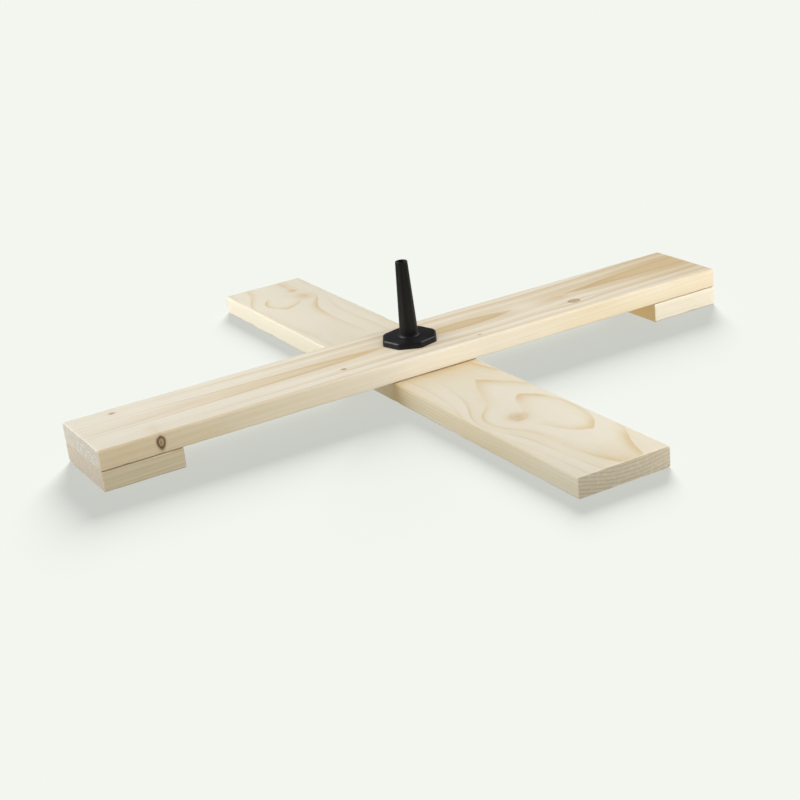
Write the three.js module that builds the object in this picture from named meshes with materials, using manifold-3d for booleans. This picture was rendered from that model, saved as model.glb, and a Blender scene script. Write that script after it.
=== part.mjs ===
// A free-standing wooden cross with a plastic spigot, which holds a tree whose trunk has a hole drilled up its middle.
//
// Two equal boards cross at right angles. The lower board lies on the floor. The upper board lies across it, and a
// foot block of the same board under each of its ends brings those ends down to the floor too. One long hexagon-head
// wood screw comes up through the middle of both boards and into the spigot. Four countersunk screws lock the
// crossing square, and two more hold each foot block. All screws are driven from below.
//
// Units are millimetres. +Z is up, +X runs along the upper board and +Y along the lower board. The origin is on the
// floor, on the spigot's axis.

import * as THREE from "three";
import { mergeVertices } from "three/addons/utils/BufferGeometryUtils.js";
import Module from "manifold-3d";

// ---- Driving dimensions ----

const BOARD = { length: 700, width: 96, thickness: 20, edgeRadius: 1.5 };
const FOOT_BLOCK_LENGTH = 80;

const FLANGE = { cornerRadius: 29.2, height: 6, chamfer: 1.5, draft: 0.5, turn: -7 };
const SHANK = { height: 83, baseRadius: 9.2, topRadius: 6.1, rootFillet: 2.8, rimRadius: 0.8 };
const SPIGOT_CORE = { mouthRadius: 3.9, floorRadius: 3.4 };
const FLANGE_POCKET = { depth: 3.5, wall: 2.2, hubRadius: 10.5, ribWidth: 2 };

const HEX_SCREW = {
  length: 100,
  headAcrossFlats: 13,
  headHeight: 5.5,
  shankRadius: 4,
  rootRadius: 2.8,
  threadStart: 38,
  pitch: 3.6,
  tipLength: 8,
};
const WASHER = { outerRadius: 12, innerRadius: 4.3, thickness: 2 };
const COUNTERBORE = { radius: 13, depth: 9.5 };

const WOOD_SCREW = {
  length: 35,
  headRadius: 4,
  headHeight: 2.2,
  shankRadius: 1.6,
  crestRadius: 2,
  rootRadius: 1.35,
  threadStart: 13,
  pitch: 2,
  tipLength: 4,
  sunkBelowFace: 0.3,
};
const RECESS = { armLength: 4.2, armWidth: 1.1, depth: 1.7 };

const CROSSING_SCREW_OFFSET = 34; // each way from the axis, inside the square where the boards cross
const BLOCK_SCREW_OFFSET = { along: 20, across: 28 }; // from the block's centre, on one diagonal
const GAP = 0.3; // between a fastener and the hole it sits in

const FINE = 32; // sides of a round surface that shows
const COARSE = 14; // sides of a small screw

// ---- Heights worked out from the driving dimensions ----

const CROSSING_Z = BOARD.thickness; // where the two boards meet
const DECK_Z = 2 * BOARD.thickness; // the upper board's top face
const WASHER_TOP_Z = COUNTERBORE.depth;
const HEX_SEAT_Z = WASHER_TOP_Z - WASHER.thickness; // the underside of the screw head bears here
const HEX_TIP_Z = HEX_SEAT_Z + HEX_SCREW.length;

// ---- Materials ----

const paleWood = new THREE.MeshStandardMaterial({ color: 0xe8d8bb, roughness: 0.62, metalness: 0 });
const tanWood = new THREE.MeshStandardMaterial({ color: 0xe2cba8, roughness: 0.62, metalness: 0 });
const blockWood = new THREE.MeshStandardMaterial({ color: 0xe0c9a0, roughness: 0.66, metalness: 0 });
const blackPlastic = new THREE.MeshStandardMaterial({ color: 0x1b1b1c, roughness: 0.42, metalness: 0 });
const zincSteel = new THREE.MeshStandardMaterial({ color: 0xc3c6c8, roughness: 0.35, metalness: 1 });

// ---- Solids ----

const wasm = await Module();
wasm.setup();

// A closed three.js geometry as a solid that can be joined and cut.
function solid(geometry) {
  const bare = geometry.clone();
  bare.deleteAttribute("normal");
  bare.deleteAttribute("uv");
  const merged = mergeVertices(bare, 1e-4);
  return new wasm.Manifold(
    new wasm.Mesh({
      numProp: 3,
      vertProperties: new Float32Array(merged.attributes.position.array),
      triVerts: new Uint32Array(merged.index.array),
    }),
  );
}

// A solid back as a three.js geometry.
function geometryOf(made) {
  const mesh = made.getMesh();
  const geometry = new THREE.BufferGeometry();
  geometry.setAttribute("position", new THREE.BufferAttribute(mesh.vertProperties, 3));
  geometry.setIndex(new THREE.BufferAttribute(mesh.triVerts, 1));
  geometry.computeVertexNormals();
  return geometry;
}

// A solid of revolution about +Z from [radius, height] pairs that run from the lowest point on the axis to the highest.
function turned(profile, sides = FINE, startAngle = 0) {
  const points = profile.map(([radius, height]) => new THREE.Vector2(radius, height));
  const geometry = new THREE.LatheGeometry(points, sides, startAngle);
  geometry.rotateX(Math.PI / 2);
  return solid(geometry);
}

// Points [radius, height] on an arc about a centre, from one angle to another in degrees, ends included.
function arc(centreRadius, centreHeight, radius, fromDegrees, toDegrees, steps) {
  return Array.from({ length: steps + 1 }, (_, i) => {
    const angle = THREE.MathUtils.degToRad(fromDegrees + ((toDegrees - fromDegrees) * i) / steps);
    return [centreRadius + radius * Math.cos(angle), centreHeight + radius * Math.sin(angle)];
  });
}

// ---- Fasteners ----

// The ridged part of a screw as [radius, height] pairs, one ridge for each pitch.
function threadProfile({ rootRadius, pitch }, crestRadius, fromHeight, toHeight) {
  const ridges = Math.floor((toHeight - fromHeight) / pitch);
  return Array.from({ length: ridges }, (_, i) => {
    const foot = fromHeight + i * pitch;
    return [
      [rootRadius, foot],
      [crestRadius, foot + pitch * 0.45],
      [rootRadius, foot + pitch * 0.9],
    ];
  }).flat();
}

// A hexagon-head wood screw that points up, with the underside of its head at height 0.
function hexScrew() {
  const { length, headHeight, shankRadius, rootRadius, threadStart, tipLength } = HEX_SCREW;
  const cornerRadius = HEX_SCREW.headAcrossFlats / Math.sqrt(3);
  const prism = new THREE.CylinderGeometry(cornerRadius, cornerRadius, headHeight, 6);
  prism.rotateX(Math.PI / 2).translate(0, 0, -headHeight / 2);
  const flatRadius = HEX_SCREW.headAcrossFlats / 2;
  const crowned = turned([
    [0, -headHeight],
    [flatRadius - 0.3, -headHeight],
    [cornerRadius + 0.1, -headHeight + 0.8],
    [cornerRadius + 0.1, 0],
    [0, 0],
  ]);
  const head = solid(prism).intersect(crowned);
  const shaft = turned(
    [
      [0, -0.5],
      [shankRadius, -0.5],
      [shankRadius, threadStart - 1],
      ...threadProfile(HEX_SCREW, shankRadius, threadStart, length - tipLength),
      [rootRadius, length - tipLength],
      [0, length],
    ],
    20,
  );
  return head.add(shaft);
}

function washer() {
  const { outerRadius, innerRadius, thickness } = WASHER;
  const disc = turned([
    [0, 0],
    [outerRadius - 0.3, 0],
    [outerRadius, 0.3],
    [outerRadius, thickness - 0.3],
    [outerRadius - 0.3, thickness],
    [0, thickness],
  ]);
  const hole = turned([
    [0, -1],
    [innerRadius, -1],
    [innerRadius, thickness + 1],
    [0, thickness + 1],
  ]);
  return disc.subtract(hole);
}

// A countersunk wood screw that points up, with its head's flat face at height 0 and a cross recess in that face.
function woodScrew() {
  const { length, headRadius, headHeight, shankRadius, crestRadius, rootRadius, threadStart, tipLength } = WOOD_SCREW;
  const body = turned(
    [
      [0, 0],
      [headRadius, 0],
      [headRadius, 0.3],
      [shankRadius, headHeight + 0.3],
      [shankRadius, threadStart - 0.5],
      ...threadProfile(WOOD_SCREW, crestRadius, threadStart, length - tipLength),
      [rootRadius, length - tipLength],
      [0, length],
    ],
    COARSE,
  );
  const { armLength, armWidth, depth } = RECESS;
  const slot = new THREE.BoxGeometry(armLength, armWidth, 2 * depth);
  const crossSlot = slot.clone().rotateZ(Math.PI / 2);
  return body.subtract(solid(slot)).subtract(solid(crossSlot));
}

// What a wood screw leaves in the boards: a countersink, then a hole that clears its thread.
function woodScrewHole() {
  const { length, headRadius, headHeight, crestRadius } = WOOD_SCREW;
  const holeRadius = crestRadius + GAP;
  const mouthRadius = headRadius + 2 * GAP;
  return turned(
    [
      [0, -1],
      [mouthRadius, -1],
      [mouthRadius, 0.6],
      [holeRadius, headHeight + 1.2],
      [holeRadius, length + GAP],
      [0, length + 2],
    ],
    COARSE,
  );
}

// ---- Boards ----

// A planed board: its section is a rectangle with eased long edges, and its ends are sawn square. It runs along +X
// and is centred on the origin in X and Y, with its underside at height 0.
function board(length) {
  const { width, thickness, edgeRadius } = BOARD;
  const [halfWidth, r] = [width / 2, edgeRadius];
  const section = new THREE.Shape();
  section.absarc(halfWidth - r, r, r, -Math.PI / 2, 0);
  section.absarc(halfWidth - r, thickness - r, r, 0, Math.PI / 2);
  section.absarc(-halfWidth + r, thickness - r, r, Math.PI / 2, Math.PI);
  section.absarc(-halfWidth + r, r, r, Math.PI, 1.5 * Math.PI);
  const geometry = new THREE.ExtrudeGeometry(section, { depth: length, bevelEnabled: false, curveSegments: 3 });
  // The section is drawn in X (across) and Y (up) and pushed along Z, so turn it to run along X with Z up.
  geometry.translate(0, 0, -length / 2);
  geometry.rotateX(Math.PI / 2).rotateZ(Math.PI / 2);
  return solid(geometry);
}

// The column that the hexagon-head screw needs: a counterbore for head and washer, then a hole for its shank.
function hexScrewColumn() {
  const holeRadius = HEX_SCREW.shankRadius + GAP;
  return turned([
    [0, -1],
    [COUNTERBORE.radius, -1],
    [COUNTERBORE.radius, COUNTERBORE.depth],
    [holeRadius, COUNTERBORE.depth],
    [holeRadius, DECK_Z + 1],
    [0, DECK_Z + 1],
  ]);
}

// ---- Where the wood screws go: [x, y] of each ----

const square = CROSSING_SCREW_OFFSET;
const crossingScrewPlaces = [
  [-square, -square],
  [square, -square],
  [square, square],
  [-square, square],
];
const blockCentreX = (BOARD.length - FOOT_BLOCK_LENGTH) / 2;

function blockScrewPlaces(side) {
  const { along, across } = BLOCK_SCREW_OFFSET;
  return [
    [side * (blockCentreX - along), -across],
    [side * (blockCentreX + along), across],
  ];
}

const woodScrewPlaces = [...crossingScrewPlaces, ...blockScrewPlaces(-1), ...blockScrewPlaces(1)];

// Cuts the screw holes at the given places. The board that is cut has its underside on the floor or above it.
function drilled(wood, places) {
  return places.reduce((left, [x, y]) => left.subtract(woodScrewHole().translate([x, y, 0])), wood);
}

function lowerArm() {
  const wood = board(BOARD.length).rotate([0, 0, 90]).subtract(hexScrewColumn());
  return drilled(wood, crossingScrewPlaces);
}

function upperArm() {
  const wood = board(BOARD.length).translate([0, 0, CROSSING_Z]).subtract(hexScrewColumn());
  return drilled(wood, woodScrewPlaces);
}

function footBlock(side) {
  const wood = board(FOOT_BLOCK_LENGTH).translate([side * blockCentreX, 0, 0]);
  return drilled(wood, blockScrewPlaces(side));
}

// ---- Spigot ----

// The eight-sided flange with its lightening pocket and ribs. Its underside is at height 0.
function flange() {
  const { cornerRadius, height, chamfer, draft } = FLANGE;
  const { depth, wall, hubRadius, ribWidth } = FLANGE_POCKET;
  const plate = turned(
    [
      [0, 0],
      [cornerRadius, 0],
      [cornerRadius - draft, height - chamfer],
      [cornerRadius - draft - chamfer, height],
      [0, height],
    ],
    8,
  );
  const pocketRadius = cornerRadius - wall;
  const pocket = turned(
    [
      [0, -1],
      [pocketRadius, -1],
      [pocketRadius - draft, depth],
      [0, depth],
    ],
    8,
  );
  const hub = turned([
    [0, -2],
    [hubRadius, -2],
    [hubRadius, height / 2],
    [0, height / 2],
  ]);
  const rib = new THREE.BoxGeometry(pocketRadius, ribWidth, depth + 1).translate(pocketRadius / 2, 0, 0);
  const ribbedHub = Array.from({ length: 8 }, (_, i) =>
    solid(rib.clone().rotateZ(((i + 0.5) * Math.PI) / 4)),
  ).reduce((joined, one) => joined.add(one), hub);
  return plate.subtract(pocket.subtract(ribbedHub));
}

// The tapered shank with a fillet at its root and a rounded rim, from height 0 up.
function shank() {
  const { height, baseRadius, topRadius, rootFillet, rimRadius } = SHANK;
  const rootHeight = FLANGE.height;
  return turned([
    [0, rootHeight - 1],
    [baseRadius + rootFillet, rootHeight - 1],
    ...arc(baseRadius + rootFillet, rootHeight + rootFillet, rootFillet, 270, 182, 6),
    ...arc(topRadius - rimRadius, height - rimRadius, rimRadius, 2, 90, 4),
    [0, height],
  ]);
}

// The core that runs up through the spigot: wide enough for the screw's thread, then narrower up to the open mouth.
function spigotCore() {
  const threadRadius = HEX_SCREW.shankRadius + GAP;
  const tipHeight = HEX_TIP_Z - DECK_Z + 1;
  const { mouthRadius, floorRadius } = SPIGOT_CORE;
  const { height } = SHANK;
  return turned(
    [
      [0, -1],
      [threadRadius, -1],
      [threadRadius, tipHeight - HEX_SCREW.tipLength],
      [floorRadius, tipHeight],
      [mouthRadius, height - 0.6],
      [mouthRadius + 0.5, height + 0.1],
      [mouthRadius + 0.5, height + 1],
      [0, height + 1],
    ],
    24,
  );
}

function spigot() {
  return flange().add(shank()).subtract(spigotCore());
}

// ---- Assembly ----

const stand = new THREE.Group();

function add(name, made, material, [x, y, z] = [0, 0, 0], turnDegrees = 0) {
  const mesh = new THREE.Mesh(geometryOf(made), material);
  mesh.name = name;
  mesh.position.set(x, y, z);
  mesh.rotation.z = THREE.MathUtils.degToRad(turnDegrees);
  stand.add(mesh);
}

add("lower_arm", lowerArm(), paleWood);
add("upper_arm", upperArm(), tanWood);
add("left_foot_block", footBlock(-1), blockWood);
add("right_foot_block", footBlock(1), blockWood);
add("spigot", spigot(), blackPlastic, [0, 0, DECK_Z], FLANGE.turn);
add("spigot_screw", hexScrew(), zincSteel, [0, 0, HEX_SEAT_Z], 12);
add("spigot_washer", washer(), zincSteel, [0, 0, HEX_SEAT_Z]);

// Each screw stops turning where it bites, so no two recesses stand the same way.
function addWoodScrews(prefix, places) {
  places.forEach(([x, y], i) => {
    const turn = (37 * (i + 1) + x) % 90;
    add(`${prefix}_${i + 1}`, woodScrew(), zincSteel, [x, y, WOOD_SCREW.sunkBelowFace], turn);
  });
}

addWoodScrews("crossing_screw", crossingScrewPlaces);
addWoodScrews("left_block_screw", blockScrewPlaces(-1));
addWoodScrews("right_block_screw", blockScrewPlaces(1));

export default stand;
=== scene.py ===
"""The looks of a wooden cross stand: two crossed boards, two foot blocks, a plastic spigot and the screws.

Everything is in metres in the row's frame: +Z up, +X along the upper board, +Y along the lower board.
Each piece is rebuilt on the place its CAD node gives. Wood is a solid procedural material, so its growth
rings run through from the faces to the edges and the sawn ends.
"""

import math
from dataclasses import dataclass

import bmesh
import bpy
import numpy as np
from mathutils import Matrix, Vector, noise


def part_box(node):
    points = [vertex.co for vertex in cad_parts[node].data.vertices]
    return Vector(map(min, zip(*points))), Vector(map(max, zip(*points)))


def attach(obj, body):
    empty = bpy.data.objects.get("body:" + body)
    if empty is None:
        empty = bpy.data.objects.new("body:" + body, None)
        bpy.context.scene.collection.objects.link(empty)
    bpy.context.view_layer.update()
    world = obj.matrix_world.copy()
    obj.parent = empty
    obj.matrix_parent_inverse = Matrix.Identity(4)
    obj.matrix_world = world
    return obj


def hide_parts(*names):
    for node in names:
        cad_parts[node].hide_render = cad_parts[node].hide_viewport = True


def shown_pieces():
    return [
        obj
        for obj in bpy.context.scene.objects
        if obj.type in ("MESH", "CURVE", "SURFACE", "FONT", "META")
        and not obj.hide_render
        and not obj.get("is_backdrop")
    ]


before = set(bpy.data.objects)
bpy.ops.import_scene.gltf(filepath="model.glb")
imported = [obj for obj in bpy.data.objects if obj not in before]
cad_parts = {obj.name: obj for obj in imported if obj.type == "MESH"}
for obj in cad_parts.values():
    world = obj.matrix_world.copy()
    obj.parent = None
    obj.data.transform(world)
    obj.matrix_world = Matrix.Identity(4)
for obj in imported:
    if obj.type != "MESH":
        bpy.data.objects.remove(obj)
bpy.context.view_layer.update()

MM = 0.001


# -------------------- sizes and names, from the frame

SPIGOT_LOW, SPIGOT_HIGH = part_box("spigot")
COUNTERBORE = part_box("spigot_washer")[1].z / MM  # how deep it is: the washer bears on its roof

WOOD_SCREWS = sorted(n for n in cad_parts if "_screw_" in n)
CROSSING_SCREWS = [n for n in WOOD_SCREWS if n.startswith("crossing")]
LEFT_SCREWS = [n for n in WOOD_SCREWS if n.startswith("left")]
RIGHT_SCREWS = [n for n in WOOD_SCREWS if n.startswith("right")]


def foot_of(node):
    """The middle of a node's underside in metres, and the node's height in millimetres."""
    low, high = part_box(node)
    return Vector(((low.x + high.x) / 2, (low.y + high.y) / 2, low.z)), (high.z - low.z) / MM


# -------------------- small helpers


def srgb(red, green, blue):
    """A display colour of 0 to 255 as the linear colour that shader nodes take."""
    def linear(value):
        v = value / 255
        return v / 12.92 if v <= 0.04045 else ((v + 0.055) / 1.055) ** 2.4

    return (linear(red), linear(green), linear(blue), 1.0)


def mesh_object(name, vertices, faces):
    mesh = bpy.data.meshes.new(name)
    mesh.from_pydata([tuple(v) for v in vertices], [], faces)
    mesh.update()
    made = bpy.data.objects.new(name, mesh)
    bpy.context.scene.collection.objects.link(made)
    return made


def solid(name, vertices, faces):
    """A closed mesh with its faces turned outwards."""
    made = mesh_object(name, vertices, faces)
    work = bmesh.new()
    work.from_mesh(made.data)
    bmesh.ops.recalc_face_normals(work, faces=work.faces)
    work.to_mesh(made.data)
    work.free()
    return made


def smooth(piece, degrees):
    """Smooth shading that keeps edges sharper than the given angle."""
    piece.data.shade_smooth()
    piece.data.set_sharp_from_angle(angle=math.radians(degrees))


def combine(piece, others, operation):
    """Cuts closed objects out of a piece, or joins them to it, and deletes them."""
    for other in others:
        modifier = piece.modifiers.new("combine", "BOOLEAN")
        modifier.operation = operation
        modifier.solver = "MANIFOLD"
        modifier.object = other
    graph = bpy.context.evaluated_depsgraph_get()
    result = bpy.data.meshes.new_from_object(piece.evaluated_get(graph))
    result.materials.clear()
    piece.modifiers.clear()
    piece.data = result
    for other in others:
        bpy.data.objects.remove(other)


# The next functions build closed solids. Their points are in millimetres, and their places in metres.


def around(sides):
    """Evenly spaced angles, once round."""
    return [2 * math.pi * k / sides for k in range(sides)]


def ring(angles, radii, height):
    return [Vector((r * math.cos(t), r * math.sin(t), height)) for t, r in zip(angles, radii)]


def stack(name, foot, rings, tip, place):
    """A closed solid: a foot on the axis, rings from bottom to top, and a tip on the axis."""
    sides = len(rings[0])
    top = 1 + len(rings) * sides
    last = top - sides
    faces = [(0, 1 + (k + 1) % sides, 1 + k) for k in range(sides)]
    for start in range(1, last, sides):
        for k in range(sides):
            p, q = start + k, start + (k + 1) % sides
            faces.append((p, q, q + sides, p + sides))
    faces += [(top, last + k, last + (k + 1) % sides) for k in range(sides)]
    points = [Vector((0, 0, foot)), *(point for level in rings for point in level), Vector((0, 0, tip))]
    return solid(name, [point * MM + place for point in points], faces)


def band(name, rings, place):
    """A closed solid with a hole through it: rings that go once round its section, in order."""
    count, sides = len(rings), len(rings[0])
    faces = []
    for level in range(count):
        up = ((level + 1) % count - level) * sides
        for k in range(sides):
            p, q = level * sides + k, level * sides + (k + 1) % sides
            faces.append((p, q, q + up, p + up))
    return solid(name, [point * MM + place for level in rings for point in level], faces)


def circles(profile, sides):
    return [ring(around(sides), [radius] * sides, height) for radius, height in profile]


def turned(name, profile, sides, place):
    """A solid of revolution from (radius, height) pairs that start and end on the axis."""
    return stack(name, profile[0][1], circles(profile[1:-1], sides), profile[-1][1], place)


def prism(name, first, second, place):
    """A closed solid between two loops with as many points each."""
    count = len(first)
    faces = [tuple(range(count)), tuple(range(2 * count - 1, count - 1, -1))]
    faces += [(k, count + k, count + (k + 1) % count, (k + 1) % count) for k in range(count)]
    return solid(name, [point * MM + place for point in [*first, *second]], faces)


# -------------------- shader nodes


class Graph:
    """The nodes of a material or a world. A value is a number, a colour, or another node's output."""

    def __init__(self, owner):
        owner.use_nodes = True
        self.owner = owner
        self.tree = owner.node_tree
        self.tree.nodes.clear()

    def node(self, kind, inputs=None, **settings):
        made = self.tree.nodes.new(kind)
        for key, value in settings.items():
            setattr(made, key, value)
        for key, value in (inputs or {}).items():
            self.give(made.inputs[key], value)
        return made

    def give(self, socket, value):
        if isinstance(value, bpy.types.NodeSocket):
            self.tree.links.new(value, socket)
        else:
            socket.default_value = value

    def math(self, operation, *values):
        return self.node("ShaderNodeMath", dict(enumerate(values)), operation=operation).outputs[0]

    def add(self, *values):
        total = values[0]
        for value in values[1:]:
            total = self.math("ADD", total, value)
        return total

    def times(self, *values):
        total = values[0]
        for value in values[1:]:
            total = self.math("MULTIPLY", total, value)
        return total

    def bell(self, *distances):
        """exp(-(sum of squares)): 1 where every distance is 0, fading to 0 a few units away."""
        squares = [self.math("MULTIPLY", d, d) for d in distances]
        return self.math("EXPONENT", self.times(self.add(*squares), -1.0))

    def largest(self, *values):
        top = 0.0
        for value in values:
            top = self.math("MAXIMUM", top, value)
        return top

    def between(self, value, low, high):
        return self.math("MAXIMUM", self.math("MINIMUM", value, high), low)

    def vector(self, x, y, z):
        return self.node("ShaderNodeCombineXYZ", {"X": x, "Y": y, "Z": z}).outputs[0]

    def vector_math(self, operation, first, second, output=0):
        return self.node("ShaderNodeVectorMath", {0: first, 1: second}, operation=operation).outputs[output]

    def place_in_mm(self):
        position = self.node("ShaderNodeTexCoord").outputs["Object"]
        return self.vector_math("MULTIPLY", position, (1 / MM, 1 / MM, 1 / MM))

    def noise(self, vector, scale=1.0, detail=2.0, roughness=0.5):
        inputs = {"Vector": vector, "Scale": scale, "Detail": detail, "Roughness": roughness}
        return self.node("ShaderNodeTexNoise", inputs).outputs[0]

    def noise_along(self, value, scale, offset, detail):
        """Noise on a line, from -0.5 to 0.5."""
        inputs = {"W": self.add(self.times(value, scale), offset), "Scale": 1.0, "Detail": detail}
        return self.add(self.node("ShaderNodeTexNoise", inputs, noise_dimensions="1D").outputs[0], -0.5)

    def step(self, value, low, high, to_low=0.0, to_high=1.0):
        """A smooth step from to_low to to_high as value goes from low to high."""
        inputs = {"Value": value, "From Min": low, "From Max": high, "To Min": to_low, "To Max": to_high}
        return self.node("ShaderNodeMapRange", inputs, interpolation_type="SMOOTHSTEP").outputs[0]

    def mix(self, share, first, second, blend="MIX"):
        """Mixes two colours. The share is kept between 0 and 1."""
        inputs = {0: share, 6: first, 7: second}  # the sockets for colours
        return self.node("ShaderNodeMix", inputs, data_type="RGBA", blend_type=blend).outputs[2]

    def mix_shaders(self, share, first, second):
        return self.node("ShaderNodeMixShader", {0: share, 1: first, 2: second}).outputs[0]

    def bump(self, height, distance, strength, normal=None):
        inputs = {"Height": height, "Distance": distance, "Strength": strength}
        if normal is not None:
            inputs["Normal"] = normal
        return self.node("ShaderNodeBump", inputs).outputs[0]

    def surface(self, colour, roughness, normal, metallic=0.0, specular=0.5):
        inputs = {"Base Color": colour, "Roughness": roughness, "Normal": normal}
        inputs.update({"Metallic": metallic, "Specular IOR Level": specular})
        shader = self.node("ShaderNodeBsdfPrincipled", inputs).outputs[0]
        self.node("ShaderNodeOutputMaterial", {"Surface": shader})


# -------------------- wood

# Each board is described in its own millimetres: "a" along it and "c" across it from its middle, and "h" up
# from its underside. Growth rings are circles about the pith, a line that runs along the board outside it.
# A place on a board is (a, c, reach along, reach across, strength).

RESIN_FLECK = srgb(176, 140, 100)
# Tan for stains, and for painted warm shade beside the crossing.
STAIN_AND_SHADE = srgb(212, 180, 124)
KNOT_STAIN = srgb(214, 190, 146)
KNOT_HEART = srgb(156, 116, 62)
KNOT_BARK = srgb(96, 64, 38)
SAWN_LATE_WOOD = srgb(170, 150, 122)
TORN_FIBRES = srgb(246, 242, 234)
# Orange for painted warm reflected light on a shaded sawn end.
WARM_BOUNCE_TINT = srgb(255, 218, 156)
# A brown for painted shade where boards meet.
JOINT_SHADE = srgb(150, 104, 46)

JOINT_SHADE_REACH = 3.0 * MM
GRAIN_RELIEF = 0.1 * MM
FOLD_ROUND = 2.0  # how gently rings fold above the pith, in millimetres


@dataclass
class Wood:
    """One board: where it lies, how it grew, and its colours."""

    box: tuple
    along: str
    pith: tuple  # (c, h) of the pith
    ring: float  # how far apart the rings are
    seed: int
    early: tuple  # the pale wood of spring
    late: tuple  # the darker line that closes each ring
    warm: tuple  # the colour of tan bands and patches
    sawn: tuple  # the colour of its sawn ends
    phase: float = 0.0  # moves every ring outwards by this share of a ring
    line: tuple = (0.5, 0.6)  # where in a ring the late wood starts, and how strongly it shows
    uneven: float = 0.5  # how much the years differ in width
    wander: tuple = (2.0, 0.5)  # how far rings stray from a circle, slowly and quickly along the board
    ridge: float = 0.0  # how sharply rings fold above the pith
    stripes: float = 1.1  # how much the years differ in colour
    calm: float = 0.0  # how much fainter rings and stripes are on the narrow faces
    torn: float = 0.12  # how pale the torn fibres on its sawn ends are
    sways: tuple = ()  # the pith strays sideways: (a, reach, shift)
    swells: tuple = ()  # places where rings are pushed outwards
    bands: tuple = ()  # tan bands inside a ring: (ring radius, softness, strength)
    patches: tuple = ()  # tan places
    accents: tuple = ()  # places where late wood shows more strongly
    tan_marks: tuple = ()  # deep tan places: stains, and painted warm shade beside the crossing
    warm_bounce: tuple = ()  # painted warm reflected light on sawn ends, as orange places
    knots: tuple = ()

    def __post_init__(self):
        low, high = self.box
        x_size, y_size, z_size = (side / MM for side in high - low)
        if self.along == "X":
            self.axis, self.across = Vector((1, 0, 0)), Vector((0, 1, 0))
            self.length, self.width = x_size, y_size
        else:
            self.axis, self.across = Vector((0, 1, 0)), Vector((-1, 0, 0))
            self.length, self.width = y_size, x_size
        self.thickness = z_size
        self.origin = Vector(((low.x + high.x) / 2, (low.y + high.y) / 2, low.z))


@dataclass
class Knot:
    """A branch that the saw cut through, on the wide faces or on the near edge."""

    a: float
    x: float  # its c on the wide faces, or its h on the near edge
    size: float  # half its extent across the board
    stretch: float  # its extent along the board over its extent across
    heart: float  # how dark its middle is
    bark: float  # how dark the ring around it is
    push: float = 0.6  # how far the board's rings part around it
    soft: float = 0.3  # how gradually its edge fades
    spread: float = 2.6  # how far along the board the rings part, in knots
    narrow: bool = False  # on the near edge, and not through the wide faces


class WoodGraph(Graph):
    """The nodes of one board's material, with the board's own a, c and h."""

    def __init__(self, name, wood):
        super().__init__(bpy.data.materials.new(name))
        self.wood = wood
        position = self.node("ShaderNodeTexCoord").outputs["Object"]
        self.from_origin = self.vector_math("SUBTRACT", position, tuple(wood.origin))
        self.a = self.millimetres(wood.axis)
        self.c = self.millimetres(wood.across)
        self.h = self.millimetres((0, 0, 1))

    def millimetres(self, direction):
        scaled = tuple(x / MM for x in direction)
        return self.vector_math("DOT_PRODUCT", self.from_origin, scaled, "Value")

    def swirl(self, reach_along, reach_across, **settings):
        """Noise that follows the board's grain, from -0.5 to 0.5."""
        at = self.vector(
            self.times(self.a, 1 / reach_along),
            self.add(self.times(self.c, 1 / reach_across), self.wood.seed * 37.0),
            self.times(self.h, 1 / reach_across),
        )
        return self.add(self.noise(at, **settings), -0.5)

    def years_noise(self, years, scale, offset, detail):
        """Noise that is the same all along a ring, from -0.5 to 0.5."""
        return self.noise_along(years, scale, self.wood.seed * offset, detail)

    def from_place(self, at, reach, value):
        """How far a value is from a place, in reaches."""
        return self.times(self.add(value, -at), 1 / reach)

    def places(self, places):
        """The sum of soft round places."""
        total = [0.0]
        for a, c, reach_a, reach_c, strength in places:
            here = self.bell(self.from_place(a, reach_a, self.a), self.from_place(c, reach_c, self.c))
            total.append(self.times(here, strength))
        return self.add(*total)


def knot_masks(g):
    """Moves c and h apart around every knot, and finds where hearts, bark rings and stained wood show."""
    parted = {"c": g.c, "h": g.h}
    hearts, barks, tan_marks = [], [], []
    near_edge = -g.wood.width / 2
    for index, knot in enumerate(g.wood.knots):
        side, x = ("h", g.h) if knot.narrow else ("c", g.c)
        depth = g.step(g.c, near_edge + 34, near_edge + 20) if knot.narrow else 1.0
        away_a = g.from_place(knot.a, knot.size * knot.stretch, g.a)
        away_x = g.from_place(knot.x, knot.size, x)
        near = g.times(g.bell(g.times(away_a, 1 / knot.spread), g.times(away_x, 1 / 2.2)), depth)
        parted[side] = g.add(parted[side], g.times(g.add(x, -knot.x), near, -knot.push))

        seed = g.wood.seed + index * 3.7
        rough = g.add(g.noise(g.vector(g.times(away_a, 0.8), g.times(away_x, 0.8), seed)), -0.5)
        distance = g.math("SQRT", g.add(g.times(away_a, away_a), g.times(away_x, away_x)))
        away = g.add(distance, g.times(rough, 0.6))
        whorl = g.step(g.math("SINE", g.times(away, 8.0)), -1.0, 1.0, 0.6, 1.0)
        heart = g.step(away, 1.0 + knot.soft / 2, 1.0 - knot.soft)
        hearts.append(g.times(heart, whorl, knot.heart, depth))
        rim = 0.34 if knot.narrow else 0.17
        barks.append(g.times(g.bell(g.from_place(0.84, rim, away)), depth, knot.bark))
        if knot.narrow:
            split = g.bell(g.times(away_a, 1 / 0.28), g.times(away_x, 1 / 0.42))
            barks.append(g.times(split, depth, 0.55 * knot.bark))
        tan_marks.append(g.times(g.bell(g.times(away, 1 / 1.5)), depth, max(knot.heart, knot.bark)))
    return parted["c"], parted["h"], g.largest(*hearts), g.largest(*barks), g.largest(*tan_marks)


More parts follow.
